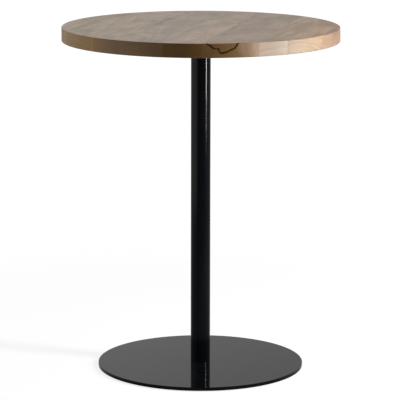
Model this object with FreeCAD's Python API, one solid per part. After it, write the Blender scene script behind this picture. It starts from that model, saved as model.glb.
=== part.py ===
import FreeCAD, Part
import math
import os

# A round bar table: a glued solid wood top on one black steel column and a flat round steel base.
# Lengths are in millimetres. The origin is on the floor under the column, Z is up, the boards run along Y.

# Overall sizes. The height includes the floor pads.
table_height = 1002.0
top_diameter = 800.0
top_thickness = 40.0
top_edge_bevel = 2.0
base_diameter = 600.0
base_thickness = 10.0
base_edge_bevel = 1.0

# Glue joints of the top, counted across the boards, as shares of its radius from the centre line
board_joint_shares = (-0.85, -0.57, -0.37, -0.035, 0.2325, 0.59, 0.76, 0.9475)

# Column tube
column_diameter = 57.0
column_wall = 2.0

# Floor pads under the base disc, set in from its rim
pad_count = 4
pad_diameter = 30.0
pad_thickness = 2.0
pad_rim_margin = 11.0

# Threaded plug inside the column's lower end. Its weld lies in the recess that keeps it off the base disc.
plug_thickness = 15.0
plug_recess = 3.0
plug_clearance = 0.1
plug_weld_recess_share = 0.8

# Low-headed socket screws, used under the top and under the base
screw_diameter = 8.0
screw_length = 20.0
screw_head_diameter = 13.0
screw_head_height = 5.0
screw_socket = 5.0
screw_socket_depth = 2.8
screw_hole_clearance = 1.0
thread_clearance = 0.1

# Foot screws, through the base disc into the plug, with their heads sunk into the disc
foot_screw_count = 3
foot_screw_circle_share = 0.64
foot_screw_sink = 0.5

# Four-armed mounting cross, welded on the column's upper end
cross_thickness = 5.0
cross_arm_width = 50.0
cross_corner_round = 30.0
cross_weld_leg = 4.0

# Cross screws with wide washers, one near the end of each arm, in slots on the arms across the boards
cross_screw_radius = 170.0
cross_slot_travel = 6.0
washer_diameter = 24.0
washer_thickness = 2.0
washer_hole_clearance = 0.4

# Threaded inserts in the underside of the top
insert_wall = 2.2
insert_length = 15.0
insert_hole_spare = 2.0
insert_clearance = 0.05

# How far a cut runs past what it cuts
overrun = 5.0

# Directions
up = FreeCAD.Vector(0, 0, 1)
axis_point = FreeCAD.Vector(0, 0, 0)
full_turn = 360.0
quarter_turn = full_turn / 4
hexagon_sides = 6

# Levels above the floor that follow from the sizes above
base_bottom = pad_thickness
base_top = base_bottom + base_thickness
plug_bottom = base_top + plug_recess
plug_top = plug_bottom + plug_thickness
top_bottom = table_height - top_thickness
cross_bottom = top_bottom - cross_thickness
washer_bottom = cross_bottom - washer_thickness
insert_top = top_bottom + insert_length
foot_screw_seat = base_bottom + foot_screw_sink + screw_head_height

# Radii and reaches that follow from the sizes above
top_radius = top_diameter / 2
base_radius = base_diameter / 2
column_radius = column_diameter / 2
column_bore_radius = column_radius - column_wall
plug_radius = column_bore_radius - plug_clearance
foot_screw_circle_radius = plug_radius * foot_screw_circle_share
pad_circle_radius = base_radius - pad_rim_margin - pad_diameter / 2
screw_hole_radius = (screw_diameter + screw_hole_clearance) / 2
tapped_radius = screw_diameter / 2 + thread_clearance
insert_radius = tapped_radius + insert_wall


def at_height(z):
    return FreeCAD.Vector(0, 0, z)


def cylinder(radius, bottom, top):
    return Part.makeCylinder(radius, top - bottom, at_height(bottom))


def ring_places(radius, count, first_angle):
    """Places evenly spaced on a circle round the column's axis."""
    places = []
    for index in range(count):
        angle = math.radians(first_angle + index * full_turn / count)
        places.append(FreeCAD.Vector(radius * math.cos(angle), radius * math.sin(angle), 0))
    return places


def copies(shape, places):
    """One copy of a shape at each place."""
    moved = []
    for place in places:
        copy = shape.copy()
        copy.translate(place)
        moved.append(copy)
    return moved


def cut_all(shape, cutters):
    for cutter in cutters:
        shape = shape.cut(cutter)
    return shape


def bevelled_disc(radius, bottom, top, bevel):
    """A disc whose upper and lower edges are eased by a bevel."""
    disc = cylinder(radius, bottom, top)
    rims = [edge for edge in disc.Edges if isinstance(edge.Curve, Part.Circle)]
    return disc.makeChamfer(bevel, rims)


def flat_face(corners):
    return Part.Face(Part.makePolygon(corners + corners[:1]))


def cap_screw(seat):
    """A screw that points up. Its low head hangs below the seat's height and has a hexagonal socket."""
    head_bottom = seat - screw_head_height
    head = cylinder(screw_head_diameter / 2, head_bottom, seat)
    screw = head.fuse(cylinder(screw_diameter / 2, seat, seat + screw_length))
    socket_corner_radius = screw_socket / 2 / math.cos(math.pi / hexagon_sides)
    hexagon = flat_face(ring_places(socket_corner_radius, hexagon_sides, 0))
    socket = hexagon.extrude(at_height(screw_socket_depth + overrun))
    socket.translate(at_height(head_bottom - overrun))
    return screw.cut(socket)


# Wooden top
def cross_screw_places():
    """The two places on the arms that lie across the boards, and the two on the arms along them."""
    across = [FreeCAD.Vector(side * cross_screw_radius, 0, 0) for side in (-1, 1)]
    along = [FreeCAD.Vector(0, side * cross_screw_radius, 0) for side in (-1, 1)]
    return across, along


def all_cross_screw_places():
    across, along = cross_screw_places()
    return across + along


def insert_hole():
    """A blind hole that clears the insert and the screw's tip."""
    hole_top = max(insert_top, washer_bottom + screw_length) + insert_hole_spare
    return cylinder(insert_radius + insert_clearance, top_bottom - overrun, hole_top)


def top_boards():
    """The finished disc, parted along its glue joints, so each board has its own stretch of the rim."""
    disc = bevelled_disc(top_radius, top_bottom, table_height, top_edge_bevel)
    disc = cut_all(disc, copies(insert_hole(), all_cross_screw_places()))
    joints = [top_radius * share for share in board_joint_shares]
    sides = [-top_radius - overrun] + joints + [top_radius + overrun]
    length = top_diameter + 2 * overrun
    height = top_thickness + 2 * overrun
    boards = []
    for left, right in zip(sides[:-1], sides[1:]):
        corner = FreeCAD.Vector(left, -length / 2, top_bottom - overrun)
        boards.append(disc.common(Part.makeBox(right - left, length, height, corner)))
    return boards


def threaded_inserts():
    """Sleeves whose lower ends are flush with the underside of the top."""
    sleeve = cylinder(insert_radius, top_bottom, insert_top)
    bore = cylinder(tapped_radius, top_bottom - overrun, insert_top + overrun)
    return copies(sleeve.cut(bore), all_cross_screw_places())


# Mounting cross
def cross_bar():
    """Two opposite arms as one flat bar with round ends, centred on the axis."""
    end_radius = cross_arm_width / 2
    corner = FreeCAD.Vector(-cross_screw_radius, -end_radius, cross_bottom)
    bar = Part.makeBox(2 * cross_screw_radius, cross_arm_width, cross_thickness, corner)
    for tip_centre in (-cross_screw_radius, cross_screw_radius):
        tip = cylinder(end_radius, cross_bottom, top_bottom)
        tip.translate(FreeCAD.Vector(tip_centre, 0, 0))
        bar = bar.fuse(tip)
    return bar


def is_inner_corner(edge):
    """True for the four upright edges where neighbouring arms meet."""
    ends = [vertex.Point for vertex in edge.Vertexes]
    if len(ends) < 2:
        return False
    upright = abs(ends[0].z - ends[1].z) > cross_thickness / 2
    return upright and math.hypot(ends[0].x, ends[0].y) < cross_arm_width


def cross_hole():
    return cylinder(screw_hole_radius, cross_bottom - overrun, top_bottom + overrun)


def cross_slot():
    """A slot across the boards, so that the wood can swell and shrink under its screw."""
    half_travel = cross_slot_travel / 2
    corner = FreeCAD.Vector(-half_travel, -screw_hole_radius, cross_bottom - overrun)
    height = cross_thickness + 2 * overrun
    slot = Part.makeBox(cross_slot_travel, 2 * screw_hole_radius, height, corner)
    ends = [FreeCAD.Vector(-half_travel, 0, 0), FreeCAD.Vector(half_travel, 0, 0)]
    for end in copies(cross_hole(), ends):
        slot = slot.fuse(end)
    return slot


def mounting_cross():
    bar = cross_bar()
    crossing = bar.copy()
    crossing.rotate(axis_point, up, quarter_turn)
    cross = bar.fuse(crossing).removeSplitter()
    inner_corners = [edge for edge in cross.Edges if is_inner_corner(edge)]
    cross = cross.makeFillet(cross_corner_round, inner_corners)
    across, along = cross_screw_places()
    return cut_all(cross, copies(cross_slot(), across) + copies(cross_hole(), along))


# Screws and washers under the cross
def cross_washers():
    blank = cylinder(washer_diameter / 2, washer_bottom, cross_bottom)
    hole_radius = (screw_diameter + washer_hole_clearance) / 2
    hole = cylinder(hole_radius, washer_bottom - overrun, cross_bottom + overrun)
    return copies(blank.cut(hole), all_cross_screw_places())


def cross_screws():
    return copies(cap_screw(washer_bottom), all_cross_screw_places())


# Column and the threaded plug in its foot
def column_tube():
    tube = cylinder(column_radius, base_top, cross_bottom)
    return tube.cut(cylinder(column_bore_radius, base_top - overrun, cross_bottom + overrun))


def foot_screw_places():
    return ring_places(foot_screw_circle_radius, foot_screw_count, full_turn / foot_screw_count / 2)


def foot_plug():
    plug = cylinder(plug_radius, plug_bottom, plug_top)
    hole = cylinder(tapped_radius, plug_bottom - overrun, plug_top + overrun)
    return cut_all(plug, copies(hole, foot_screw_places()))


# Welds
def weld_bead(corner_radius, corner_z, leg):
    """A fillet weld round the axis, below its corner. A negative leg puts it inside the corner's radius."""
    section = flat_face([
        FreeCAD.Vector(corner_radius, 0, corner_z),
        FreeCAD.Vector(corner_radius + leg, 0, corner_z),
        FreeCAD.Vector(corner_radius, 0, corner_z - abs(leg)),
    ])
    return section.revolve(axis_point, up, full_turn)


def weld_beads():
    """One bead under the cross, round the column, and one under the plug, inside the column's foot."""
    upper = weld_bead(column_radius, cross_bottom, cross_weld_leg)
    lower = weld_bead(column_bore_radius, plug_bottom, -plug_recess * plug_weld_recess_share)
    return [upper, lower]


# Base disc and the screws that hold it
def base_plate():
    """The disc, with a counterbored hole for each foot screw."""
    disc = bevelled_disc(base_radius, base_bottom, base_top, base_edge_bevel)
    hole = cylinder(screw_hole_radius, base_bottom - overrun, base_top + overrun)
    head_room_radius = (screw_head_diameter + screw_hole_clearance) / 2
    head_room = cylinder(head_room_radius, base_bottom - overrun, foot_screw_seat)
    return cut_all(disc, copies(hole.fuse(head_room), foot_screw_places()))


def foot_screws():
    return copies(cap_screw(foot_screw_seat), foot_screw_places())


def floor_pads():
    pad = cylinder(pad_diameter / 2, 0, pad_thickness)
    return copies(pad, ring_places(pad_circle_radius, pad_count, full_turn / pad_count / 2))


def save(name, shape):
    shape.exportStep(os.path.join("parts", name + ".step"))
    print(name, "solids", len(shape.Solids), "volume", round(shape.Volume), "valid", shape.isValid())


def save_each(name, shapes):
    for number, shape in enumerate(shapes, start=1):
        save(name + "_" + str(number), shape)


def main():
    os.makedirs("parts", exist_ok=True)
    save_each("top_board", top_boards())
    save("threaded_inserts", Part.makeCompound(threaded_inserts()))
    save("mounting_cross", mounting_cross())
    save("weld_beads", Part.makeCompound(weld_beads()))
    save("cross_washers", Part.makeCompound(cross_washers()))
    save("cross_screws", Part.makeCompound(cross_screws()))
    save("column_tube", column_tube())
    save("foot_plug", foot_plug())
    save("base_plate", base_plate())
    save("foot_screws", Part.makeCompound(foot_screws()))
    save_each("floor_pad", floor_pads())


main()
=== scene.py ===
import bpy
import math
from mathutils import Matrix, Vector


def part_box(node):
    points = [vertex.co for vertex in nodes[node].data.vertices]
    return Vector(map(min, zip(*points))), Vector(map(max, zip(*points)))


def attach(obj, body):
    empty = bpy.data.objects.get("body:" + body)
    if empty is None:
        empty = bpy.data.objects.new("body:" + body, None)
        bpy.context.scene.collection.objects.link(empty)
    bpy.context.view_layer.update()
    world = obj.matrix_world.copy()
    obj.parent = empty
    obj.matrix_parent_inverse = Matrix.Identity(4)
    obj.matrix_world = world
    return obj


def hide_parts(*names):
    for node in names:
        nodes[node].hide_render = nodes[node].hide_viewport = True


# The looks of a round bar table, in metres. The boards of its top run along Y, and Z is up.
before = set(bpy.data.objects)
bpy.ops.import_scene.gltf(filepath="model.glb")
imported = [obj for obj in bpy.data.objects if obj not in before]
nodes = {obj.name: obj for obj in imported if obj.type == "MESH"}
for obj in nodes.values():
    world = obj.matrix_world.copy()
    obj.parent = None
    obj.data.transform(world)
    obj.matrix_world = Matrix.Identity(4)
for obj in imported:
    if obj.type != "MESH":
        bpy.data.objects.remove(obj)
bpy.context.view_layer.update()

mm = 0.001
body = "root"

# Sizes read from the frame
board_names = sorted(name for name in nodes if name.startswith("top_board_"))
board_piece_names = ["board_%d" % (number + 1) for number in range(len(board_names))]
board_boxes = {name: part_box(name) for name in board_names}
top_bottom = min(low.z for low, high in board_boxes.values())
top_height = max(high.z for low, high in board_boxes.values())
top_radius = max(high.x for low, high in board_boxes.values())
base_low, base_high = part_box("base_plate")
base_radius = base_high.x
column_low, column_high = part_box("column_tube")
column_radius = column_high.x
cross_low, cross_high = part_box("mounting_cross")
washer_low, washer_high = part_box("cross_washers")
cross_screw_low, cross_screw_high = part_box("cross_screws")
foot_screw_low, foot_screw_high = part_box("foot_screws")
bead_low, bead_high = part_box("weld_beads")
pad_names = sorted(name for name in nodes if name.startswith("floor_pad_"))

# Sizes that the frame's boxes don't give
top_edge_round = 2.0 * mm
base_edge_round = 1.0 * mm
column_wall = 2.0 * mm
cross_arm_width = 50.0 * mm
cross_corner_round = 30.0 * mm
cross_slot_travel = 6.0 * mm
cut_edge_round = 0.4 * mm
screw_radius = 4.0 * mm
screw_head_radius = 6.5 * mm
screw_head_height = 5.0 * mm
screw_socket = 5.0 * mm
screw_socket_depth = 2.8 * mm
screw_point = 0.5 * mm
screw_point_share = 0.25
screw_chamfer = 0.25 * mm
screw_mouth_share = 1.09
screw_head_round = 0.6 * mm
screw_bulge = 0.012
screw_bulge_height = 0.18 * mm
screw_grips = 36
screw_grip_depth = 0.18 * mm
screw_tip_share = 0.85
screw_hole_radius = 4.5 * mm
head_room_radius = 7.0 * mm
washer_radius = 12.0 * mm
washer_hole_radius = 4.2 * mm
insert_hole_radius = 6.35 * mm
insert_hole_depth = 17.0 * mm
foot_screw_count = 3
pad_edge_round = 0.5 * mm
weld_ripples = 52
weld_ripple_share = 0.07
weld_ripple_lag = 1.9
weld_flat_share = 0.16
plug_weld_leg = 2.4 * mm
overrun = 1.0 * mm

cross_screw_radius = washer_high.x - washer_radius
foot_screw_circle = -foot_screw_low.x - screw_head_radius

# Fineness of round forms
round_steps = 6
fine_round_steps = 3
cut_edge_steps = 2
rim_segments = 288
fewest_rim_steps = 3
column_segments = 128
small_segments = 48
points_per_grip = 4
points_per_ripple = 6
full_turn = 2 * math.pi

# Edges sharper than this are creases. A board's rim meets a joint's face at 18 degrees or more, and its
# rounding turns by 15 degrees a step, so the boards take an angle between the two.
crease_angle = math.radians(32)
board_crease_angle = math.radians(17)


# Objects and meshes
def add_object(name, data):
    thing = bpy.data.objects.new(name, data)
    bpy.context.scene.collection.objects.link(thing)
    return thing


def add_mesh(name, points, faces):
    mesh = bpy.data.meshes.new(name)
    mesh.from_pydata(points, [], faces)
    return add_object(name, mesh)


def skin(rings, capped, looped=False):
    """Points and faces through rings of equally many points. The rings go anticlockwise and upwards."""
    count = len(rings[0])
    points = [point for ring in rings for point in ring]
    faces = []
    last = len(rings) if looped else len(rings) - 1
    for level in range(last):
        lower = level * count
        upper = (level + 1) % len(rings) * count
        for index in range(count):
            following = (index + 1) % count
            faces.append((lower + index, lower + following, upper + following, upper + index))
    if capped:
        faces.append(tuple(reversed(range(count))))
        faces.append(tuple(range(len(points) - count, len(points))))
    return points, faces


def half_circle(radius):
    """Points of the right half of a circle round the origin, anticlockwise."""
    steps = small_segments // 2
    points = []
    for step in range(steps + 1):
        angle = -math.pi / 2 + math.pi * step / steps
        points.append((radius * math.cos(angle), radius * math.sin(angle)))
    return points


def circle(radius, z, segments, centre):
    """Points of a level circle, anticlockwise."""
    ring = []
    for index in range(segments):
        angle = index * full_turn / segments
        ring.append((centre[0] + radius * math.cos(angle), centre[1] + radius * math.sin(angle), z))
    return ring


def turned(profile, segments, looped=False, centre=(0.0, 0.0)):
    """A turned solid. The profile lists radius and height, upwards outside, or round a closed section."""
    rings = [circle(radius, z, segments, centre) for radius, z in profile]
    return skin(rings, capped=not looped, looped=looped)


def eased(corners, radius, steps, closed=True):
    """An outline with its corners rounded by arcs. An open outline keeps its two ends."""
    outline = []
    for index, corner in enumerate(corners):
        if not closed and index in (0, len(corners) - 1):
            outline.append(tuple(corner))
            continue
        here = Vector(corner)
        back = (Vector(corners[index - 1]) - here).normalized()
        ahead = (Vector(corners[(index + 1) % len(corners)]) - here).normalized()
        half = back.angle(ahead) / 2
        centre = here + (back + ahead).normalized() * radius / math.sin(half)
        start = here + back * radius / math.tan(half) - centre
        end = here + ahead * radius / math.tan(half) - centre
        for step in range(steps + 1):
            outline.append(tuple(centre + start.slerp(end, step / steps).normalized() * radius))
    return outline


def joined(forms):
    """Points and faces of several meshes as one."""
    points, faces = [], []
    for form_points, form_faces in forms:
        first = len(points)
        points += form_points
        faces += [tuple(first + index for index in face) for face in form_faces]
    return points, faces


def disc(radius, low, high, edge_round, steps, segments, centre=(0.0, 0.0)):
    """A disc with rounded edges."""
    corners = [(0.0, low), (radius, low), (radius, high), (0.0, high)]
    profile = eased(corners, edge_round, steps, closed=False)
    return turned(profile[1:-1], segments, centre=centre)


def tube_section(inner, outer, low, high):
    """Half of a lengthways cut through a tube, anticlockwise."""
    return [(inner, high), (inner, low), (outer, low), (outer, high)]


def moved(form, x, y):
    points, faces = form
    return [(px + x, py + y, pz) for px, py, pz in points], faces


def cut(piece, cutters):
    """Cuts closed meshes, given as points and faces, out of a piece."""
    cutter = add_mesh("cutter", *joined(cutters))
    difference = piece.modifiers.new("holes", "BOOLEAN")
    difference.operation = "DIFFERENCE"
    difference.solver = "EXACT"
    difference.object = cutter
    piece.modifiers.move(len(piece.modifiers) - 1, 0)
    normals = piece.modifiers["normals"]
    normals.show_viewport = False
    evaluated = piece.evaluated_get(bpy.context.evaluated_depsgraph_get())
    result = bpy.data.meshes.new_from_object(evaluated)
    normals.show_viewport = True
    piece.modifiers.remove(difference)
    piece.data = result
    result.shade_smooth()
    result.set_sharp_from_angle(angle=crease_angle)
    bpy.data.objects.remove(cutter)


def new_piece(name, form, replaced, material, cutters=(), sharp_angle=crease_angle):
    """A smooth-shaded mesh that rides on the table and stands for the replaced nodes, less the cutters."""
    piece = add_mesh(name, *form)
    piece.data.update()
    piece.data.shade_smooth()
    piece.data.set_sharp_from_angle(angle=sharp_angle)
    normals = piece.modifiers.new("normals", "WEIGHTED_NORMAL")
    normals.keep_sharp = True
    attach(piece, body)
    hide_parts(*replaced)
    if cutters:
        cut(piece, cutters)
    piece.data.materials.clear()
    piece.data.materials.append(material)


def cross_screw_places():
    """Places of the screws on the cross: on its two arms across the boards, then on the two along them."""
    across = [(side * cross_screw_radius, 0.0) for side in (-1, 1)]
    along = [(0.0, side * cross_screw_radius) for side in (-1, 1)]
    return across + along


def foot_screw_places():
    """Places of the screws in the column's foot."""
    radius = foot_screw_circle
    places = []
    for index in range(foot_screw_count):
        angle = full_turn * (index + 0.5) / foot_screw_count
        places.append((radius * math.cos(angle), radius * math.sin(angle)))
    return places


# Shader nodes
class Field:
    """A value that varies over a surface, as the output of a shader node."""

    def __init__(self, graph, socket):
        self.graph = graph
        self.socket = socket

    def __add__(self, other):
        return self.graph.math("ADD", self, other)

    def __radd__(self, other):
        return self.graph.math("ADD", other, self)

    def __sub__(self, other):
        return self.graph.math("SUBTRACT", self, other)

    def __rsub__(self, other):
        return self.graph.math("SUBTRACT", other, self)

    def __mul__(self, other):
        return self.graph.math("MULTIPLY", self, other)

    def __rmul__(self, other):
        return self.graph.math("MULTIPLY", other, self)

    def __truediv__(self, other):
        return self.graph.math("DIVIDE", self, other)

    def __abs__(self):
        return self.graph.math("ABSOLUTE", self)


class Graph:
    """Adds nodes to a tree. A field or socket given as an input is linked, and any other value is set."""

    def __init__(self, tree):
        self.tree = tree

    def feed(self, socket, value):
        if isinstance(value, Field):
            value = value.socket
        if isinstance(value, bpy.types.NodeSocket):
            self.tree.links.new(value, socket)
        else:
            socket.default_value = value

    def add(self, kind, inputs=None, **settings):
        node = self.tree.nodes.new(kind)
        for name, value in settings.items():
            setattr(node, name, value)
        for name, value in (inputs or {}).items():
            self.feed(node.inputs[name], value)
        return node

    def field(self, node, output=0):
        return Field(self, node.outputs[output])

    def math(self, operation, *values):
        inputs = dict(enumerate(values))
        return self.field(self.add("ShaderNodeMath", inputs, operation=operation))

    def vector(self, operation, *values):
        inputs = dict(enumerate(values))
        return self.field(self.add("ShaderNodeVectorMath", inputs, operation=operation))

    def scaled(self, vector, factors):
        return self.vector("MULTIPLY", vector, factors)

    def length(self, first, second):
        return self.math("SQRT", first * first + second * second)

    def parts(self, vector):
        node = self.add("ShaderNodeSeparateXYZ", {0: vector})
        return [self.field(node, index) for index in range(3)]

    def whole(self, x, y, z):
        return self.field(self.add("ShaderNodeCombineXYZ", {0: x, 1: y, 2: z}))

    def ease(self, value, low, high, start=0.0, end=1.0):
        """Goes smoothly from start to end as the value goes from low to high."""
        inputs = {"Value": value, "From Min": low, "From Max": high, "To Min": start, "To Max": end}
        return self.field(self.add("ShaderNodeMapRange", inputs, interpolation_type="SMOOTHSTEP"))

    def noise(self, place, size, detail=2.0, roughness=0.5, output="Fac"):
        """Noise from 0 to 1, in lumps of about the size that is given along each axis."""
        place = self.scaled(place, [1 / across for across in size])
        inputs = {"Vector": place, "Scale": 1.0, "Detail": detail, "Roughness": roughness}
        return self.field(self.add("ShaderNodeTexNoise", inputs), output)

    def line_noise(self, value, detail, roughness=0.5):
        """Noise from 0 to 1 along a line."""
        inputs = {"W": value, "Scale": 1.0, "Detail": detail, "Roughness": roughness}
        return self.field(self.add("ShaderNodeTexNoise", inputs, noise_dimensions="1D"))

    def cells(self, place, size):
        """Distance to the nearest of scattered points, as a share of their spacing."""
        inputs = {"Vector": self.scaled(place, [1 / across for across in size]), "Scale": 1.0}
        return self.field(self.add("ShaderNodeTexVoronoi", inputs), "Distance")

    def blend(self, share, first, second):
        """Goes from the first colour to the second as the share goes from 0 to 1."""
        inputs = {0: share, 6: first, 7: second}
        return self.field(self.add("ShaderNodeMix", inputs, data_type="RGBA"), 2)


def even(size):
    """The same size along each axis."""
    return (size, size, size)


def new_material(name):
    """A material with a bare principled shader. Returns it with its graph and the shader."""
    material = bpy.data.materials.new(name)
    material.use_nodes = True
    graph = Graph(material.node_tree)
    shader = material.node_tree.nodes["Principled BSDF"]
    return material, graph, shader


def dress(graph, shader, colour, roughness, height, depth):
    """Feeds a shader its colour, its roughness and the relief that the bump shows."""
    graph.feed(shader.inputs["Base Color"], colour)
    graph.feed(shader.inputs["Roughness"], roughness)
    bump = graph.add("ShaderNodeBump", {"Height": height, "Distance": depth})
    graph.feed(shader.inputs["Normal"], graph.field(bump))


def place_in_mm(graph):
    """The place on the table, so that a pattern runs through a piece and round its edges."""
    place = graph.field(graph.add("ShaderNodeTexCoord"), "Object")
    return graph.scaled(place, even(1 / mm))


# Wood. Tones are linear colours. Sizes in the grain are in mm across, along and up through the table.
pale_tone = (0.45, 0.32, 0.20, 1)
middle_tone = (0.34, 0.235, 0.14, 1)
dark_tone = (0.17, 0.105, 0.055, 1)
olive_tone = (0.33, 0.25, 0.125, 1)
rose_tone = (0.41, 0.27, 0.195, 1)
pore_tone = (0.08, 0.046, 0.024, 1)
glue_tone = (0.10, 0.06, 0.032, 1)
# Paler tone of rubbed lacquer on the edges, partly a painted highlight of the rounded edges
rubbed_and_highlight_tone = (0.52, 0.38, 0.25, 1)
wood_ior = 1.46
wood_specular = 0.5
wood_relief = 0.06 * mm
wood_inputs = ("Pith across", "Pith height", "Tilt", "Ring spacing", "Lean", "Seed", "Left joint",
               "Right joint")
wood_tints = ("Face tint", "End tint")
wood_outputs = {"Color": "NodeSocketColor", "Roughness": "NodeSocketFloat", "Height": "NodeSocketFloat"}

bend_size = (90, 430, 90)
bend_across = 46.0
bend_up = 30.0
ripple_size = (13, 150, 13)
ripple_reach = 5.0
feather_size = (2.4, 260, 2.4)
feather_reach = 70.0
streak_size = (17, 130, 17)
patch_size = (68, 140, 68)
fleck_size = (9, 70, 9)
vein_size = (40, 330, 40)
fibre_size = (0.9, 48, 0.9)
pore_size = (1.2, 9, 1.2)
curl_size = (64, 30, 64)
curl_slope = 0.7
curl_slope_turn = 2.4
curl_bend = 160.0
rubbed_and_highlight_size = (38, 38, 4)
nick_size = (9, 9, 5)
glue_half_width = 0.35
no_joint = 1000.0
edge_band_width = 2.5
edge_band_full = 0.5
board_middle = (top_bottom + top_height) / 2 / mm
board_half = (top_height - top_bottom) / 2 / mm
ring_taper = 0.03
lines_per_ring = 4.3
seed_steps = (311.0, 173.0, 97.0)
band_seed_step = 17.0
line_seed_step = 29.0

# Strengths. The first four are pairs: on the end grain and on the faces.
band_strength = (0.4, 0.65)
line_strength = (0.18, 0.26)
patch_strength = (0.2, 0.6)
cloud_strength = (0.12, 0.32)
streak_strength = 0.22
fleck_strength = 0.34
vein_strength = 0.7
pore_strength = 0.5
rubbed_and_highlight_strength = 0.25
nick_strength = 0.5
glue_strength = 0.6
# Pairs of shares or shades, at the two ends of a range
curl_strength = (0.02, 0.13)
fibre_shades = (0.88, 1.11)
pore_shares = (0.4, 1.0)
gloss_roughness = (0.34, 0.40)

# What each effect adds to the roughness, and to the relief that the bump shows
upright_dulling = 0.17
pore_dulling = 0.12
band_dulling = 0.03
rubbed_and_highlight_dulling = 0.15
fibre_rise = 0.35
line_rise = 0.1
pore_dent = 0.9
glue_dent = 0.8
nick_dent = 1.5


def new_wood_tree():
    """The empty node group for wood, with its sockets."""
    tree = bpy.data.node_groups.new("wood_grain", "ShaderNodeTree")
    for name in wood_inputs:
        tree.interface.new_socket(name, in_out="INPUT", socket_type="NodeSocketFloat")
    for name in wood_tints:
        tree.interface.new_socket(name, in_out="INPUT", socket_type="NodeSocketVector")
    for name, kind in wood_outputs.items():
        tree.interface.new_socket(name, in_out="OUTPUT", socket_type=kind)
    return tree


def by_side(face_share, strengths):
    """Goes from the first strength, on the end grain, to the second, on the faces."""
    ends, faces = strengths
    return ends + face_share * (faces - ends)


def growth_rings(graph, place, seeded, bends, given):
    """Broad bands and fine dark lines that follow the growth rings."""
    x, y, z = graph.parts(place)
    ripple = graph.noise(seeded, ripple_size, detail=3.0)
    across = x - given["Pith across"] - given["Tilt"] * y + (bends[0] - 0.5) * bend_across
    depth = z - top_height / mm - given["Pith height"] + (bends[2] - 0.5) * bend_up
    radius = graph.length(across, depth) + y * ring_taper + (ripple - 0.5) * ripple_reach
    count = radius / given["Ring spacing"]
    bands = graph.line_noise(count + given["Seed"] * band_seed_step, detail=3.0, roughness=0.6)
    lines = graph.line_noise(count * lines_per_ring + given["Seed"] * line_seed_step, detail=1.0)
    return graph.ease(bands, 0.36, 0.66), graph.ease(lines, 0.58, 0.74)


def figured(graph, colour, seeded, feathered, patches, face_share, upward):
    """Adds streaks, olive and rose patches, flecks, and thin dark veins on the faces."""
    streak = graph.noise(feathered, streak_size, detail=3.0, roughness=0.55)
    colour = graph.blend(graph.ease(streak, 0.56, 0.80) * streak_strength, colour, dark_tone)
    strength = by_side(face_share, patch_strength)
    colour = graph.blend(graph.ease(patches[0], 0.48, 0.58) * strength, colour, olive_tone)
    colour = graph.blend(graph.ease(patches[1], 0.51, 0.61) * strength, colour, rose_tone)
    fleck = graph.noise(feathered, fleck_size, detail=4.0, roughness=0.6)
    colour = graph.blend(graph.ease(fleck, 0.62, 0.72) * fleck_strength, colour, dark_tone)
    vein = abs(graph.noise(seeded, vein_size, detail=1.0) - 0.5)
    vein = graph.ease(vein, 0.004, 0.016, 1.0, 0.0) * graph.ease(patches[2], 0.46, 0.36)
    return graph.blend(vein * upward * vein_strength, colour, dark_tone)


def wood_shade(graph, slant, fibre, feathered, patches, face_share):
    """Brightness from the fibres, from slow clouds and from the curl, bars that lie across the grain."""
    cloud = 1.0 + (graph.ease(patches[2], 0.34, 0.66) - 0.5) * by_side(face_share, cloud_strength)
    curl_place = graph.vector("ADD", feathered, graph.whole(0.0, slant, 0.0))
    curl = graph.ease(graph.noise(curl_place, curl_size, detail=3.0), 0.38, 0.62) - 0.5
    curl = 1.0 + curl * graph.ease(patches[0], 0.60, 0.42, *curl_strength) * face_share
    return graph.ease(fibre, 0.25, 0.75, *fibre_shades) * cloud * curl


def edge_wear_and_highlight(graph, place):
    """Masks of the rubbed and of the nicked places along the edges of the top. The rubbed places are paler,
    partly a painted highlight of the rounded edges.
    """
    x, y, z = graph.parts(place)
    edge = graph.ease(graph.length(x, y), top_radius / mm - edge_band_width, top_radius / mm - edge_band_full)
    edge = edge * graph.ease(abs(z - board_middle), board_half - edge_band_width, board_half - edge_band_full)
    rubbed_and_highlight = graph.ease(graph.noise(place, rubbed_and_highlight_size, detail=3.0), 0.44, 0.60)
    nicked = graph.ease(graph.noise(place, nick_size), 0.60, 0.68)
    return edge * rubbed_and_highlight, edge * nicked


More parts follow.
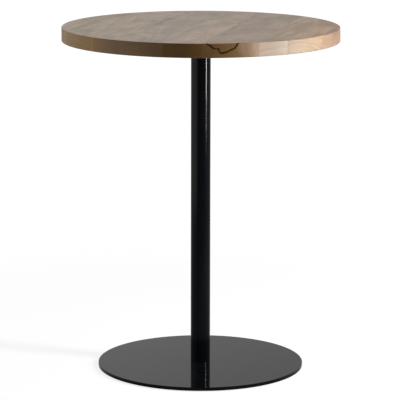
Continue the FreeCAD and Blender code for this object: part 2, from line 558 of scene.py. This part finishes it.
def wood_group():
    """Lacquered wood. Its growth rings run round a slightly tilted line, the pith, in or near the board."""
    tree = new_wood_tree()
    graph = Graph(tree)
    group_input = graph.add("NodeGroupInput")
    given = {name: graph.field(group_input, name) for name in wood_inputs + wood_tints}
    seed = given["Seed"]
    place = place_in_mm(graph)
    x = graph.parts(place)[0]
    seeded = graph.vector("ADD", place, graph.whole(*[seed * step for step in seed_steps]))
    feather = graph.noise(seeded, feather_size)
    feathered = graph.vector("ADD", seeded, graph.whole(0.0, (feather - 0.5) * feather_reach, 0.0))
    facing = graph.parts(graph.field(graph.add("ShaderNodeNewGeometry"), "Normal"))
    end_grain = graph.ease(abs(facing[1]), 0.30, 0.80)
    upward = abs(facing[2])
    face_share = 1.0 - end_grain

    bends = graph.parts(graph.noise(seeded, bend_size, output="Color"))
    bands, lines = growth_rings(graph, place, seeded, bends, given)
    colour = graph.blend(0.5 + (bands - 0.5) * by_side(face_share, band_strength), pale_tone, middle_tone)
    colour = graph.blend(lines * by_side(face_share, line_strength), colour, dark_tone)
    patches = graph.parts(graph.noise(feathered, patch_size, detail=3.0, output="Color"))
    colour = figured(graph, colour, seeded, feathered, patches, face_share, upward)
    pores = graph.ease(graph.cells(seeded, pore_size), 0.14, 0.30, 1.0, 0.0)
    pores = pores * graph.ease(bands, 0.1, 0.9, *pore_shares)
    colour = graph.blend(pores * pore_strength, colour, pore_tone)

    fibre = graph.noise(seeded, fibre_size, detail=3.0, roughness=0.6)
    slant = graph.math("SINE", seed * curl_slope_turn) * x * curl_slope + (bends[1] - 0.5) * curl_bend
    shade = wood_shade(graph, slant, fibre, feathered, patches, face_share)
    left = given["Left joint"]
    right = given["Right joint"]
    shade = shade * (1.0 + (graph.ease(x, left, right) - 0.5) * given["Lean"] * end_grain)
    colour = graph.scaled(colour, graph.whole(shade, shade, shade))
    colour = graph.scaled(colour, graph.blend(end_grain, given["Face tint"], given["End tint"]))

    rubbed_and_highlight, nicked = edge_wear_and_highlight(graph, place)
    # Paler rubbed patches on the rounded edges: worn lacquer and partly a painted highlight
    colour = graph.blend(rubbed_and_highlight * rubbed_and_highlight_strength, colour, rubbed_and_highlight_tone)
    colour = graph.blend(nicked * nick_strength, colour, dark_tone)
    joint = graph.math("MINIMUM", abs(x - left), abs(x - right))
    glue = graph.ease(joint, glue_half_width / 2, glue_half_width, 1.0, 0.0)
    colour = graph.blend(glue * glue_strength, colour, glue_tone)

    roughness = graph.ease(fibre, 0.2, 0.8, *gloss_roughness) + (1.0 - upward) * upright_dulling
    roughness = roughness + pores * pore_dulling + bands * band_dulling + rubbed_and_highlight * rubbed_and_highlight_dulling
    height = fibre * fibre_rise - pores * pore_dent - glue * glue_dent + lines * line_rise
    height = height - nicked * nick_dent
    result = graph.add("NodeGroupOutput")
    graph.feed(result.inputs["Color"], colour)
    graph.feed(result.inputs["Roughness"], roughness)
    graph.feed(result.inputs["Height"], height)
    return tree


# Each board: pith across from its left joint as a share of its width, pith height above the top face in
# mm, tilt, ring spacing in mm, brightening of its end grain from left to right, tints of its faces and of
# its end grain
board_looks = (
    (0.90, -90.0, 0.020, 5.5, 0.00, (1.13, 1.09, 1.05), (1.24, 1.00, 0.66)),
    (0.35, -120.0, -0.015, 6.5, -0.06, (1.06, 1.09, 1.01), (0.99, 0.77, 0.34)),
    (0.60, -60.0, 0.030, 5.0, -0.34, (1.06, 1.06, 1.08), (0.68, 0.495, 0.22)),
    (0.20, -75.0, -0.022, 6.0, 0.14, (0.99, 1.02, 1.10), (0.625, 0.46, 0.205)),
    (0.55, -35.0, 0.012, 4.5, 0.00, (1.10, 1.07, 1.12), (0.535, 0.37, 0.10)),
    (0.40, 5.0, 0.008, 6.0, 0.12, (0.86, 0.83, 0.84), (0.61, 0.435, 0.205)),
    # The seventh board's pale, bluish end tint is partly a painted sheen
    (0.70, -140.0, -0.018, 5.5, -0.26, (0.93, 0.87, 0.80), (1.18, 1.23, 1.48)),
    (0.40, -70.0, 0.016, 6.5, 0.00, (1.05, 0.92, 0.73), (0.71, 0.70, 0.61)),
    (0.10, -100.0, -0.010, 5.0, 0.00, (0.76, 0.62, 0.59), (0.84, 0.54, 0.36)),
)

# A dark line in the end grain of one board, hung from the upper edge, with paler wood beyond it, partly
# sapwood and partly a painted sheen. Places across the table, depths and widths are in mm.
marked_board = "top_board_6"
mark_middle = 149.0
mark_turns = (-90, -84, -76, -65, -56, -46, -37, -29, -19, -6, 8, 26, 40, 54, 67, 81, 90)
mark_reaches = (43.2, 38.3, 34.0, 29.6, 26.4, 21.7, 19.8, 23.6, 26.8, 26.0, 24.6, 24.5, 25.4, 27.7, 31.4,
                34.0, 35.6)
mark_longest = 50.0
mark_half_width = 2.3
mark_fade = (0.5, 1.6)
mark_tone = (0.038, 0.013, 0.001, 1)
mark_strength = 0.95
mark_dent = 2.0
mark_depth_in = 7.0
mark_depth_full = 1.0
mark_front_range = (-200.0, -100.0)
wobble_size = (4, 30, 4)
wobble_reach = 1.6
wobble_range = (0.3, 0.7)
wobble_widths = (0.6, 1.5)
# Paler wood beyond the dark line: partly sapwood and partly a painted sheen
sapwood_and_sheen_border = 2.0
sapwood_and_sheen_slope = 0.5
sapwood_and_sheen_near_range = (166.0, 190.0)
sapwood_and_sheen_far_range = (206.0, 236.0)
sapwood_and_sheen_near_share = 0.4
sapwood_and_sheen_tint = (1.11, 1.09, 1.14, 1)


def mark_outline(graph, turn):
    """How far the dark line lies from its middle, by the angle from straight down."""
    curve = graph.add("ShaderNodeFloatCurve", {"Value": turn / math.pi + 0.5})
    places = [((angle + 90.0) / 180.0, reach / mark_longest)
              for angle, reach in zip(mark_turns, mark_reaches)]
    points = curve.mapping.curves[0].points
    points[0].location = places[0]
    points[1].location = places[-1]
    for share, height in places[1:-1]:
        points.new(share, height)
    curve.mapping.update()
    return graph.field(curve) * mark_longest


def ring_mark(graph):
    """Masks of the dark line and of the paler wood beyond it, near the rim. The paler wood is partly a
    painted sheen.
    """
    place = place_in_mm(graph)
    x, y, z = graph.parts(place)
    aside = x - mark_middle
    below = top_height / mm - z
    wobble = graph.noise(place, wobble_size)
    outline = mark_outline(graph, graph.math("ARCTAN2", aside, below)) + (wobble - 0.5) * wobble_reach
    outside = graph.length(aside, below) - outline
    half_width = mark_half_width * graph.ease(wobble, *wobble_range, *wobble_widths)
    rim = top_radius / mm
    near_rim = graph.ease(graph.length(x, y), rim - mark_depth_in, rim - mark_depth_full)
    front = graph.ease(y, *mark_front_range, 1.0, 0.0)
    line = graph.ease(abs(outside) / half_width, *mark_fade, 1.0, 0.0) * near_rim * front
    near = graph.ease(x - below * sapwood_and_sheen_slope, *sapwood_and_sheen_near_range, 0.0, sapwood_and_sheen_near_share)
    far = graph.ease(x, *sapwood_and_sheen_far_range, 0.0, 1 - sapwood_and_sheen_near_share)
    sapwood_and_sheen = graph.ease(outside, 0.0, sapwood_and_sheen_border) * (near + far)
    return line, sapwood_and_sheen * near_rim * front


def wood_material(number, name, grain):
    share, pith_height, tilt, spacing, lean, face_tint, end_tint = board_looks[number]
    low, high = board_boxes[name]
    left = low.x / mm
    right = high.x / mm
    pith = left + share * (right - left)
    # The outer boards end in the rim, where there is no glue line
    left_joint = left if number > 0 else -no_joint
    right_joint = right if number < len(board_names) - 1 else no_joint
    material, graph, shader = new_material("wood_" + name)
    values = (pith, pith_height, tilt, spacing, lean, number + 1.0, left_joint, right_joint)
    wood = graph.add("ShaderNodeGroup", node_tree=grain)
    for socket, value in zip(wood_inputs + wood_tints, values + (face_tint, end_tint)):
        wood.inputs[socket].default_value = value
    colour = graph.field(wood, "Color")
    height = graph.field(wood, "Height")
    if name == marked_board:
        line, sapwood_and_sheen = ring_mark(graph)
        # The end grain beyond the dark line turns pale: partly sapwood and partly a painted sheen
        graph.feed(wood.inputs["End tint"], graph.blend(sapwood_and_sheen, (*end_tint, 1), sapwood_and_sheen_tint))
        colour = graph.blend(line * mark_strength, colour, mark_tone)
        height = height - line * mark_dent
        graph.feed(shader.inputs["Specular IOR Level"], wood_specular - line * wood_specular)
    dress(graph, shader, colour, graph.field(wood, "Roughness"), height, wood_relief)
    shader.inputs["IOR"].default_value = wood_ior
    return material


# Black coat on the steel. Sizes are in mm. Roughness is a pair: where it is smoothest and dullest.
coat_ior = 1.18
coat_tone = (0.0042, 0.0048, 0.0064, 1)
coat_dusty_tone = (0.010, 0.0106, 0.0116, 1)
flat_coat_roughness = (0.045, 0.09)
flat_coat_ripple = 0.004 * mm
round_coat_roughness = (0.13, 0.16)
round_coat_ripple = 0.001 * mm
peel_size = 2.6
wave_size = 11
wave_share = 1.5
smudge_size = 85
smudge_range = (0.3, 0.7)
dust_range = (0.45, 0.75)
dust_strength = 0.35
speck_size = 7
speck_range = (0.02, 0.045)
speck_strength = 0.3
speck_dulling = 0.2


def coat_material(name, roughness, ripple):
    """Glossy black powder coat with the faint ripple that it dries to, smudges and a little dust."""
    material, graph, shader = new_material(name)
    place = place_in_mm(graph)
    peel = graph.noise(place, even(peel_size), detail=1.0)
    wave = graph.noise(place, even(wave_size), detail=1.0)
    smudge = graph.noise(place, even(smudge_size), detail=4.0, roughness=0.6)
    speck = graph.ease(graph.cells(place, even(speck_size)), *speck_range, 1.0, 0.0)
    dust = graph.ease(smudge, *dust_range) * dust_strength + speck * speck_strength
    dullness = graph.ease(smudge, *smudge_range, *roughness) + speck * speck_dulling
    colour = graph.blend(dust, coat_tone, coat_dusty_tone)
    dress(graph, shader, colour, dullness, peel + wave * wave_share, ripple)
    shader.inputs["IOR"].default_value = coat_ior
    return material


# Other materials
def clouded_material(name, tones, tone_range, roughness, cloud_size, relief_size, relief_detail,
                     relief_depth, relief_dulling=0.0, cloud_detail=4.0, metallic=1.0):
    """A material whose tone and roughness change in slow clouds. Its relief has its depth in metres."""
    material, graph, shader = new_material(name)
    place = place_in_mm(graph)
    cloud = graph.noise(place, cloud_size, detail=cloud_detail)
    relief = graph.noise(place, relief_size, detail=relief_detail)
    dullness = graph.ease(cloud, *smudge_range, *roughness) + (relief - 0.5) * relief_dulling
    colour = graph.blend(graph.ease(cloud, *tone_range), *tones)
    dress(graph, shader, colour, dullness, relief, relief_depth)
    shader.inputs["Metallic"].default_value = metallic
    return material


def zinc_material():
    """Bright zinc plating over turned steel."""
    return clouded_material(
        "zinc_plating", tones=((0.64, 0.65, 0.67, 1), (0.60, 0.58, 0.52, 1)),
        tone_range=(0.35, 0.65), roughness=(0.22, 0.36), cloud_size=even(9),
        cloud_detail=3.0, relief_size=even(0.35), relief_detail=2.0,
        relief_depth=0.01 * mm, relief_dulling=0.1)


def bare_steel_material():
    """Machined steel left bare."""
    return clouded_material(
        "machined_steel", tones=((0.38, 0.38, 0.39, 1), (0.27, 0.24, 0.21, 1)),
        tone_range=(0.4, 0.7), roughness=(0.3, 0.5), cloud_size=even(12),
        relief_size=(20, 20, 0.2), relief_detail=1.0,
        relief_depth=0.02 * mm)


def rubber_material():
    """Black rubber with a fine moulded grain."""
    return clouded_material(
        "moulded_rubber", tones=((0.022, 0.022, 0.022, 1), (0.055, 0.053, 0.05, 1)),
        tone_range=(0.45, 0.75), roughness=(0.62, 0.8), cloud_size=even(8),
        relief_size=even(0.5), relief_detail=3.0,
        relief_depth=0.05 * mm, metallic=0.0)


# Wooden top
def board_ring(radius, z, left, right):
    """Points round a board at one height, anticlockwise: its front arc, then its back arc."""
    whole_left = math.acos(max(-1.0, left / top_radius))
    whole_right = math.acos(min(1.0, right / top_radius))
    steps = max(fewest_rim_steps, math.ceil((whole_left - whole_right) / full_turn * rim_segments))
    start = math.acos(max(-1.0, left / radius))
    end = math.acos(min(1.0, right / radius))
    angles = [start + (end - start) * step / steps for step in range(steps + 1)]
    front = [(radius * math.cos(angle), -radius * math.sin(angle), z) for angle in angles]
    back = [(x, -y, z) for x, y, z in reversed(front)]
    if right >= top_radius - overrun / 2:
        back = back[1:]
    if left <= -top_radius + overrun / 2:
        back = back[:-1]
    return front + back


def rim_levels():
    """Inset from the rim and height of each ring, from the underside up over the rounded edges."""
    lower = []
    upper = []
    for step in range(round_steps + 1):
        angle = math.pi / 2 * step / round_steps
        inset = top_edge_round * (1 - math.sin(angle))
        rise = top_edge_round * (1 - math.cos(angle))
        lower.append((inset, top_bottom + rise))
        upper.append((rise, top_height - inset))
    return lower + upper


def make_boards():
    """The boards of the top, with their rounded rim and the holes for the threaded inserts."""
    grain = wood_group()
    drill = [(insert_hole_radius, top_bottom - overrun),
             (insert_hole_radius, top_bottom + insert_hole_depth)]
    for number, name in enumerate(board_names):
        low, high = board_boxes[name]
        left = low.x
        right = high.x
        rings = [board_ring(top_radius - inset, z, left, right) for inset, z in rim_levels()]
        holes = [turned(drill, small_segments, centre=place) for place in cross_screw_places()
                 if left < place[0] < right]
        new_piece(board_piece_names[number], skin(rings, capped=True), [name],
                  wood_material(number, name, grain), holes, board_crease_angle)


# Column, base disc and welds
def make_column(coat):
    section = tube_section(column_radius - column_wall, column_radius, column_low.z, column_high.z)
    tube = turned(section, column_segments, looped=True)
    new_piece("column", tube, ["column_tube"], coat)


def make_base(coat):
    """The base disc, with its rounded rim and the stepped holes for the foot's screws."""
    low = base_low.z
    high = base_high.z
    seat = foot_screw_low.z + screw_head_height
    cutters = []
    for place in foot_screw_places():
        steps = [(head_room_radius, low - overrun), (head_room_radius, seat), (screw_hole_radius, seat),
                 (screw_hole_radius, high + overrun)]
        cutters.append(turned(steps, small_segments, centre=place))
    plate = disc(base_radius, low, high, base_edge_round, round_steps, rim_segments)
    new_piece("base", plate, ["base_plate"], coat, cutters)


def weld_bead(inner, corner_z, leg, side):
    """A rippled fillet weld. Its side is 1 outside the corner's radius and -1 inside it."""
    segments = weld_ripples * points_per_ripple
    rings = []
    for index in range(segments):
        angle = index * full_turn / segments
        section = [(inner, corner_z)]
        for step in range(round_steps + 1):
            turn = math.pi / 2 * step / round_steps
            phase = weld_ripples * angle + weld_ripple_lag * math.sin(turn * 2)
            fill = 1 - weld_ripple_share * (0.5 + 0.5 * math.cos(phase))
            flat = 1 - weld_flat_share * math.sin(turn * 2)
            reach = leg * fill * flat
            section.append((inner + side * reach * math.cos(turn), corner_z - reach * math.sin(turn)))
        rings.append([(radius * math.cos(angle), radius * math.sin(angle), z) for radius, z in section])
    if side < 0:
        rings.reverse()
    return skin(rings, capped=False, looped=True)


def make_welds(coat):
    """The beads round the column's upper end and round the plug inside its foot."""
    leg = bead_high.x - column_radius
    upper = weld_bead(column_radius, column_high.z, leg, 1)
    lower_corner = bead_low.z + plug_weld_leg
    lower = weld_bead(column_radius - column_wall, lower_corner, plug_weld_leg, -1)
    new_piece("welds", joined([upper, lower]), ["weld_beads"], coat)


# Mounting cross
def cross_outline():
    """The plan of the cross: four round-ended arms and rounded corners between them."""
    half = cross_arm_width / 2
    outline = []
    for arm in range(4):
        turn = Matrix.Rotation(arm * math.pi / 2, 2)
        tip = [(cross_screw_radius + x, y) for x, y in half_circle(half)]
        sides = [(cross_screw_radius, half), (half, half), (half, cross_screw_radius)]
        corner = eased(sides, cross_corner_round, steps=round_steps * 2, closed=False)
        outline += [tuple(turn @ Vector(point)) for point in tip + corner[1:-1]]
    return outline


def slot_outline(centre, travel):
    """A round-ended slot across the table, or a round hole where the travel is 0."""
    outline = []
    for side in (1, -1):
        for x, y in half_circle(screw_hole_radius):
            outline.append((centre[0] + side * (travel / 2 + x), centre[1] + side * y))
    return outline


def plate_from_outlines(name, outlines, low, high, edge_round):
    """A flat plate with holes and rounded edges. The first outline is its outside."""
    curve = bpy.data.curves.new(name, "CURVE")
    curve.dimensions = "2D"
    curve.fill_mode = "BOTH"
    curve.extrude = (high - low) / 2 - edge_round
    curve.bevel_depth = edge_round
    curve.bevel_resolution = cut_edge_steps
    curve.offset = -edge_round
    for outline in outlines:
        spline = curve.splines.new("POLY")
        spline.points.add(len(outline) - 1)
        for point, (x, y) in zip(spline.points, outline):
            point.co = (x, y, 0.0, 1.0)
        spline.use_cyclic_u = True
    holder = bpy.data.objects.new(name, curve)
    mesh = bpy.data.meshes.new_from_object(holder)
    bpy.data.objects.remove(holder)
    points = [(v.co.x, v.co.y, v.co.z + (low + high) / 2) for v in mesh.vertices]
    faces = [tuple(face.vertices) for face in mesh.polygons]
    bpy.data.meshes.remove(mesh)
    return points, faces


def make_cross(coat):
    """The mounting cross. Its arms across the boards have slots, so that the wood can swell."""
    outlines = [cross_outline()]
    for place in cross_screw_places():
        travel = cross_slot_travel if abs(place[1]) < overrun else 0.0
        outlines.append(slot_outline(place, travel))
    plate = plate_from_outlines("cross", outlines, cross_low.z, cross_high.z, cut_edge_round)
    new_piece("cross", plate, ["mounting_cross"], coat)


# Screws, washers and floor pads
def screw_outline(reach_at):
    """Points round a screw's axis, at the reach that a function gives for each angle."""
    count = screw_grips * points_per_grip
    angles = [index * full_turn / count for index in range(count)]
    return [(reach_at(angle) * math.cos(angle), reach_at(angle) * math.sin(angle)) for angle in angles]


def grooved_reach(angle):
    """The reach of a head with fine upright grooves."""
    return screw_head_radius - screw_grip_depth * (0.5 - 0.5 * math.cos(screw_grips * angle))


def socket_reach(angle):
    """The reach of a hexagon."""
    turn = (angle + math.pi / 6) % (math.pi / 3) - math.pi / 6
    return screw_socket / 2 / math.cos(turn)


def screw(seat, tip):
    """A screw that points up, with a low grooved head and a hexagonal socket."""
    bottom = seat - screw_head_height
    socket_floor = bottom + screw_socket_depth
    socket = screw_outline(socket_reach)
    plain = screw_outline(lambda angle: screw_head_radius)
    grooved = screw_outline(grooved_reach)
    shank = screw_radius / screw_head_radius
    rim = 1 - screw_head_round / screw_head_radius
    # Outline, share of its size and height of each ring, from inside the socket round the head to the tip
    levels = ((socket, screw_point_share, socket_floor + screw_point),
              (socket, 1.0, socket_floor),
              (socket, 1.0, bottom + screw_chamfer),
              (socket, screw_mouth_share, bottom),
              (plain, rim, bottom),
              (plain, (1 + rim) / 2 + screw_bulge, bottom + screw_bulge_height),
              (grooved, 1.0, bottom + screw_head_round),
              (grooved, 1.0, seat - screw_head_round / 2),
              (plain, 1 - screw_head_round / 2 / screw_head_radius, seat),
              (plain, shank, seat),
              (plain, shank, tip - screw_head_round),
              (plain, shank * screw_tip_share, tip))
    rings = [[(x * share, y * share, z) for x, y in outline] for outline, share, z in levels]
    return skin(rings, capped=True)


def make_screws(zinc):
    """The screws through the cross and the screws in the column's foot."""
    upper = screw(cross_screw_low.z + screw_head_height, cross_screw_high.z)
    upper = joined([moved(upper, *place) for place in cross_screw_places()])
    new_piece("table_top_screws", upper, ["cross_screws"], zinc)
    lower = screw(foot_screw_low.z + screw_head_height, foot_screw_high.z)
    lower = joined([moved(lower, *place) for place in foot_screw_places()])
    new_piece("base_screws", lower, ["foot_screws"], zinc)


def make_washers(zinc):
    """The wide washers under the heads of the cross screws."""
    corners = tube_section(washer_hole_radius, washer_radius, washer_low.z, washer_high.z)
    section = eased(corners, cut_edge_round, fine_round_steps)
    washers = [turned(section, small_segments * 2, looped=True, centre=place)
               for place in cross_screw_places()]
    new_piece("washers", joined(washers), ["cross_washers"], zinc)


def make_pads(rubber):
    """The pads between the base disc and the floor."""
    for name in pad_names:
        low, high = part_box(name)
        centre = ((low.x + high.x) / 2, (low.y + high.y) / 2)
        radius = (high.x - low.x) / 2
        pad = disc(radius, low.z, high.z, pad_edge_round, fine_round_steps, small_segments * 2, centre)
        new_piece(name.replace("floor_", ""), pad, [name], rubber)


def paint(name, material):
    """Gives a node of the frame its material."""
    for slot in nodes[name].material_slots:
        slot.link = "OBJECT"
        slot.material = material


# Camera, where the photograph was taken from
camera_azimuth = math.radians(13.0)
camera_distance = 6.6913
camera_height = 1.7951
camera_pitch = 0.1921
camera_roll = 0.0018
sensor_width_mm = 36.0
image_width_px = 400.0
focal_length_px = 2341.47
image_middle_px = 200.61


def make_camera():
    """The camera, by its place round the table, its height, pitch and roll."""
    data = bpy.data.cameras.new("camera")
    data.sensor_width = sensor_width_mm
    data.lens = sensor_width_mm * focal_length_px / image_width_px
    data.shift_x = (image_width_px / 2 - image_middle_px) / image_width_px
    camera = add_object("camera", data)
    place = Vector((camera_distance * math.sin(camera_azimuth), -camera_distance * math.cos(camera_azimuth),
                    camera_height))
    turn = (Matrix.Rotation(camera_azimuth, 4, "Z") @ Matrix.Rotation(math.pi / 2 - camera_pitch, 4, "X")
            @ Matrix.Rotation(camera_roll, 4, "Z"))
    camera.matrix_world = Matrix.Translation(place) @ turn
    bpy.context.scene.camera = camera


# Studio
def bare_graph(owner):
    """The graph of a material or world, without nodes."""
    owner.use_nodes = True
    owner.node_tree.nodes.clear()
    return Graph(owner.node_tree)


def camera_rays(graph):
    return graph.field(graph.add("ShaderNodeLightPath"), "Is Camera Ray")


def seen_rays(graph):
    """1 for the rays that show the background: from the camera, a reflection or through glass."""
    path = graph.add("ShaderNodeLightPath")
    seen = graph.math("MAXIMUM", graph.field(path, "Is Camera Ray"), graph.field(path, "Is Glossy Ray"))
    return graph.math("MAXIMUM", seen, graph.field(path, "Is Transmission Ray"))


def towards_camera(x, y):
    """How far a place or direction lies towards the camera's side."""
    return x * math.sin(camera_azimuth) - y * math.cos(camera_azimuth)


def towards_right(x, y):
    """How far a place or direction lies to the right as seen from the camera's side."""
    return x * math.cos(camera_azimuth) + y * math.sin(camera_azimuth)


floor_half_size = 60.0
floor_tone = (0.34, 0.34, 0.34, 1)
floor_glow = (0.79, 0.96)
floor_glow_range = (0.8, 3.2)
floor_mirrored = 0.4275
floor_dark_reach = 2.0
dark_side = 0.2


def make_floor():
    """A pale floor. Its own glow makes it white for the camera, and its lit part keeps the shadow."""
    size = floor_half_size
    corners = [(-size, -size, 0), (size, -size, 0), (size, size, 0), (-size, size, 0)]
    floor = add_mesh("floor", corners, [(0, 1, 2, 3)])
    material = bpy.data.materials.new("pale_floor")
    graph = bare_graph(material)
    x, y = graph.parts(graph.field(graph.add("ShaderNodeTexCoord"), "Object"))[:2]
    away = graph.length(x, y)
    glow = graph.ease(away, *floor_glow_range, *floor_glow)
    darkest = floor_mirrored * dark_side
    mirrored = graph.ease(towards_camera(x, y), 0.0, floor_dark_reach, floor_mirrored, darkest)
    glow = glow * graph.math("MAXIMUM", camera_rays(graph), mirrored)
    lit = graph.add("ShaderNodeBsdfDiffuse", {"Color": floor_tone})
    glowing = graph.add("ShaderNodeEmission", {"Color": (1, 1, 1, 1), "Strength": glow * seen_rays(graph)})
    total = graph.add("ShaderNodeAddShader", {0: lit.outputs[0], 1: glowing.outputs[0]})
    clear = graph.add("ShaderNodeBsdfTransparent")
    under = graph.field(graph.add("ShaderNodeNewGeometry"), "Backfacing")
    sided = graph.add("ShaderNodeMixShader", {0: under, 1: total.outputs[0], 2: clear.outputs[0]})
    graph.add("ShaderNodeOutputMaterial", {"Surface": sided.outputs[0]})
    floor.data.materials.append(material)


# Brightness of the surroundings at the two ends of a range: towards the camera, upwards or to the right
world_light = (0.34, 0.04)
world_range = (-1.0, 0.9)
world_rise = 0.6
backdrop_rise = (1.0, 0.45)
backdrop_rise_range = (0.02, 0.5)
backdrop_turn_range = (-0.3, 0.5)
backdrop_sides = (1.10, 0.88)
backdrop_side_range = (-0.07, 0.07)


def make_world():
    """Soft light from behind and above, and a white backdrop for the rays that show it."""
    world = bpy.data.worlds.new("studio")
    bpy.context.scene.world = world
    graph = bare_graph(world)
    x, y, z = graph.parts(graph.field(graph.add("ShaderNodeTexCoord"), "Generated"))
    to_camera = towards_camera(x, y)
    soft = graph.ease(to_camera - z * world_rise, *world_range, *world_light)
    mirrored = graph.ease(z, *backdrop_rise_range, *backdrop_rise)
    mirrored = mirrored * graph.ease(to_camera, *backdrop_turn_range, 1.0, dark_side)
    mirrored = mirrored * graph.ease(towards_right(x, y), *backdrop_side_range, *backdrop_sides)
    shown = graph.math("MAXIMUM", camera_rays(graph), mirrored)
    light = graph.add("ShaderNodeBackground", {"Color": (1, 1, 1, 1), "Strength": soft})
    backdrop = graph.add("ShaderNodeBackground", {"Color": (1, 1, 1, 1), "Strength": shown})
    inputs = {0: seen_rays(graph), 1: light.outputs[0], 2: backdrop.outputs[0]}
    chosen = graph.add("ShaderNodeMixShader", inputs)
    graph.add("ShaderNodeOutputWorld", {"Surface": chosen.outputs[0]})


def add_lamp(name, place, target, width, tall, radiance, lights=True, mirrored=True, receivers=()):
    """A rectangular soft lamp. Its power follows from its area and its radiance.

    It lights, it shows in reflections, or both. Where receivers are named, it does so on them only.
    """
    data = bpy.data.lights.new(name, "AREA")
    data.shape = "RECTANGLE"
    data.size = width
    data.size_y = tall
    data.energy = radiance * math.pi * width * tall
    lamp = add_object(name, data)
    lamp.location = place
    lamp.rotation_mode = "QUATERNION"
    lamp.rotation_quaternion = (target - place).to_track_quat("-Z", "Y")
    lamp.visible_camera = False
    lamp.visible_diffuse = lights
    lamp.visible_glossy = mirrored
    if receivers:
        group = bpy.data.collections.new(name + "_receivers")
        for receiver in receivers:
            group.objects.link(bpy.data.objects[receiver])
        lamp.light_linking.receiver_collection = group


def stand_lamp(name, right_of_camera, distance, height, **settings):
    """A lamp that faces the table level. Its angle is in degrees to the right of the camera."""
    angle = camera_azimuth - math.pi / 2 + math.radians(right_of_camera)
    place = Vector((distance * math.cos(angle), distance * math.sin(angle), height))
    add_lamp(name, place, Vector((0, 0, height)), **settings)


def make_lamps():
    """The studio's lamps. The sheen and strips hang below the top face, so that it never shows them."""
    boards = board_piece_names
    stand_lamp("key", right_of_camera=70, distance=1.9, height=1.4, width=0.30, tall=1.6,
               radiance=32.0, mirrored=False)
    stand_lamp("sheen", right_of_camera=88, distance=1.9, height=0.86, width=0.9, tall=0.27,
               radiance=28.0, lights=False, receivers=boards)
    stand_lamp("strip", right_of_camera=67.3, distance=1.9, height=0.71, width=0.09, tall=0.36,
               radiance=290.0, lights=False, receivers=boards + ["column"])
    stand_lamp("strip_tail", right_of_camera=67.3, distance=1.9, height=0.45, width=0.09, tall=0.16,
               radiance=50.0, lights=False, receivers=["column"])
    stand_lamp("card", right_of_camera=-61, distance=2.4, height=0.5, width=2.2, tall=1.0,
               radiance=0.85, lights=False)
    stand_lamp("fill", right_of_camera=-80, distance=2.4, height=1.0, width=3.2, tall=2.0,
               radiance=0.78)
    add_lamp("overhead", place=Vector((0, 0.6, 3.2)), target=Vector((0, 0, 1.0)), width=2.4, tall=2.4,
             radiance=0.4)


def main():
    make_camera()
    make_boards()
    coat_flat = coat_material("black_coat_flat", flat_coat_roughness, flat_coat_ripple)
    coat_round = coat_material("black_coat_round", round_coat_roughness, round_coat_ripple)
    make_base(coat_flat)
    make_column(coat_round)
    make_cross(coat_round)
    make_welds(coat_round)
    zinc = zinc_material()
    make_screws(zinc)
    make_washers(zinc)
    paint("threaded_inserts", zinc)
    paint("foot_plug", bare_steel_material())
    make_pads(rubber_material())
    make_floor()
    make_world()
    make_lamps()
    bpy.context.scene.view_settings.view_transform = "Standard"


main()
